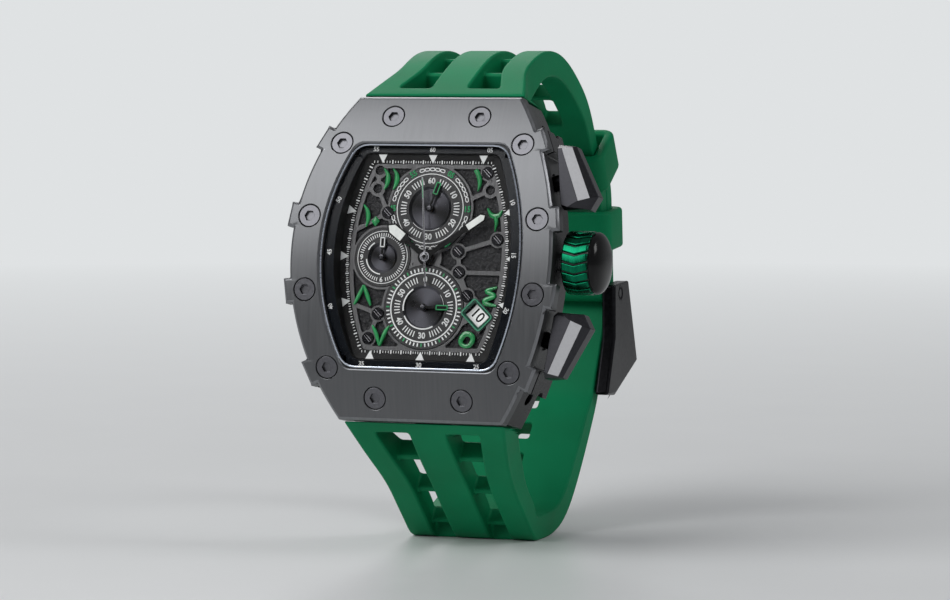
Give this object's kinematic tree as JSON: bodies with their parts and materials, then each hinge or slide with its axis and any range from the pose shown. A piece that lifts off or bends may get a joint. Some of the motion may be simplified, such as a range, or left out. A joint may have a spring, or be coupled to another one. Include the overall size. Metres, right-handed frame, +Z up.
{
  "type": "tonneau chronograph wristwatch",
  "caption": "Tonneau chronograph wristwatch with screwed bezel, openworked dial, crown, two pushers and a vented silicone strap buckled into a loop.",
  "frame": {"origin": "centre of the flat foot of the buckled strap, on the watch's middle plane", "axes": "+Z up towards 12 o'clock, -Y out of the dial, which leans back 11 degrees, +X towards the crown at 3 o'clock"},
  "size_m": [0.0505, 0.0712, 0.0769],
  "materials": {
    "gunmetal": "brushed dark steel",
    "case_metal": "brushed dark steel",
    "screw_metal": "polished dark steel",
    "gasket_rubber": "matte",
    "crystal_glass": "polished",
    "flange_black": "matte",
    "dial_plate_grey": "satin",
    "dial_base_black": "grained",
    "counter_black": "satin",
    "green_enamel": "satin",
    "white_print": "matte",
    "hand_black": "satin",
    "wheel_brass": "plain",
    "movement_steel": "plain",
    "board_green": "matte",
    "coil_copper": "wound",
    "holder_plastic": "matte",
    "strap_silicone": "satin",
    "buckle_metal": "brushed dark steel",
    "crown_green": "satin",
    "crown_black": "polished"
  },
  "bodies": {
    "case": {"bezel": "gunmetal", "bezel_gasket": "gasket_rubber", "bezel_screws": "screw_metal", "crystal": "crystal_glass", "crystal_gasket": "gasket_rubber", "flange": "flange_black", "case_middle": "case_metal", "case_back": "case_metal", "case_back_gasket": "gasket_rubber", "case_back_screws": "screw_metal", "strap_pins": "screw_metal", "crown_tube": "movement_steel", "pusher_tubes": "movement_steel", "pusher_spring_upper": "movement_steel", "pusher_spring_lower": "movement_steel", "dial_plate": "dial_plate_grey", "dial_base": "dial_base_black", "counter_top": "counter_black", "counter_left": "counter_black", "counter_bottom": "counter_black", "dial_screws": "screw_metal", "hour_numerals": "green_enamel", "date_frame": "green_enamel", "movement_holder": "holder_plastic", "main_plate": "movement_steel", "train_bridge": "movement_steel", "movement_screws": "movement_steel", "battery": "movement_steel", "circuit_board": "board_green", "coil": "coil_copper", "stator": "movement_steel", "strap_upper": "strap_silicone", "strap_lower": "strap_silicone", "keeper_fixed": "strap_silicone", "buckle_spring_bar": "screw_metal"},
    "crown_slider": {"crown_gasket": "gasket_rubber"},
    "crown_knob": {"crown": "crown_black", "crown_ring": "crown_green", "winding_stem": "movement_steel"},
    "upper_pusher": {"pusher_upper": "case_metal"},
    "lower_pusher": {"pusher_lower": "case_metal"},
    "minute_arbor": {"minute_hand": "hand_black", "cannon_pinion": "wheel_brass"},
    "minute_train": {"minute_wheel": "wheel_brass"},
    "hour_arbor": {"hour_hand": "hand_black", "hour_wheel": "wheel_brass"},
    "chrono_arbor": {"chrono_hand": "hand_black", "chrono_wheel": "wheel_brass"},
    "minute_counter": {"counter_hand_top": "hand_black", "minute_counter_wheel": "wheel_brass"},
    "hour_counter": {"counter_hand_left": "hand_black", "hour_counter_wheel": "wheel_brass"},
    "seconds_arbor": {"counter_hand_bottom": "hand_black", "seconds_wheel": "wheel_brass"},
    "reduction_arbor": {"reduction_wheel": "wheel_brass"},
    "rotor_arbor": {"rotor": "movement_steel"},
    "date_ring": {"date_disc": "white_print"},
    "buckle": {"buckle_frame": "buckle_metal"},
    "prong": {"buckle_prong": "buckle_metal"},
    "sliding_keeper": {"keeper_free": "strap_silicone"}
  },
  "joints": [
    {"name": "crown_pull", "type": "slide", "parent": "case", "child": "crown_slider", "axis": [1, 0, 0], "range_m": [0, 0.0014]},
    {"name": "crown_turn", "type": "hinge", "parent": "crown_slider", "child": "crown_knob", "pos_m": [0, -0.02132, 0.0451], "axis": [1, 0, 0], "continuous": true},
    {"name": "upper_pusher_press", "type": "slide", "parent": "case", "child": "upper_pusher", "axis": [-0.9397, -0.0653, -0.3357], "range_m": [0, 0.0007], "stiffness_N_per_m": 1000, "springref_m": -0.0015},
    {"name": "lower_pusher_press", "type": "slide", "parent": "case", "child": "lower_pusher", "axis": [-0.9397, 0.0653, 0.3357], "range_m": [0, 0.0007], "stiffness_N_per_m": 1000, "springref_m": -0.0015},
    {"name": "minute_turn", "type": "hinge", "parent": "case", "child": "minute_arbor", "pos_m": [0, -0.02495, 0.0458], "axis": [0, 0.9816, -0.1908], "continuous": true},
    {"name": "minute_wheel_turn", "type": "hinge", "parent": "case", "child": "minute_train", "pos_m": [0.003, -0.02249, 0.04533], "axis": [0, 0.9816, -0.1908], "continuous": true},
    {"name": "hour_turn", "type": "hinge", "parent": "case", "child": "hour_arbor", "pos_m": [0, -0.02472, 0.04576], "axis": [0, 0.9816, -0.1908], "continuous": true},
    {"name": "chrono_turn", "type": "hinge", "parent": "case", "child": "chrono_arbor", "pos_m": [0, -0.02516, 0.04585], "axis": [0, 0.9816, -0.1908], "continuous": true},
    {"name": "minute_counter_turn", "type": "hinge", "parent": "case", "child": "minute_counter", "pos_m": [0, -0.02303, 0.05307], "axis": [0, 0.9816, -0.1908], "continuous": true},
    {"name": "hour_counter_turn", "type": "hinge", "parent": "case", "child": "hour_counter", "pos_m": [-0.0072, -0.02448, 0.04561], "axis": [0, 0.9816, -0.1908], "continuous": true},
    {"name": "seconds_turn", "type": "hinge", "parent": "case", "child": "seconds_arbor", "pos_m": [0, -0.02592, 0.0382], "axis": [0, 0.9816, -0.1908], "continuous": true},
    {"name": "reduction_turn", "type": "hinge", "parent": "case", "child": "reduction_arbor", "pos_m": [0.0024, -0.02209, 0.03745], "axis": [0, 0.9816, -0.1908], "continuous": true},
    {"name": "rotor_turn", "type": "hinge", "parent": "case", "child": "rotor_arbor", "pos_m": [0.00464, -0.02209, 0.03745], "axis": [0, 0.9816, -0.1908], "continuous": true},
    {"name": "date_turn", "type": "hinge", "parent": "case", "child": "date_ring", "pos_m": [0, -0.02298, 0.04542], "axis": [0, 0.9816, -0.1908], "continuous": true},
    {"name": "buckle_swing", "type": "hinge", "parent": "case", "child": "buckle", "pos_m": [0, 0.03281, 0.03696], "axis": [1, 0, 0], "range_deg": [0, 8]},
    {"name": "prong_lift", "type": "hinge", "parent": "buckle", "child": "prong", "pos_m": [0, 0.03281, 0.03696], "axis": [1, 0, 0], "range_deg": [0, 8]},
    {"name": "keeper_slide", "type": "slide", "parent": "case", "child": "sliding_keeper", "axis": [0, 0.5132, -0.8583], "range_m": [-0.0015, 0.0015]}
  ],
  "couplings": [
    {"joint": "minute_wheel_turn", "follows": "minute_turn", "ratio": -0.33333},
    {"joint": "hour_turn", "follows": "minute_turn", "ratio": 0.083333},
    {"joint": "reduction_turn", "follows": "seconds_turn", "ratio": -5},
    {"joint": "rotor_turn", "follows": "seconds_turn", "ratio": 30}
  ]
}
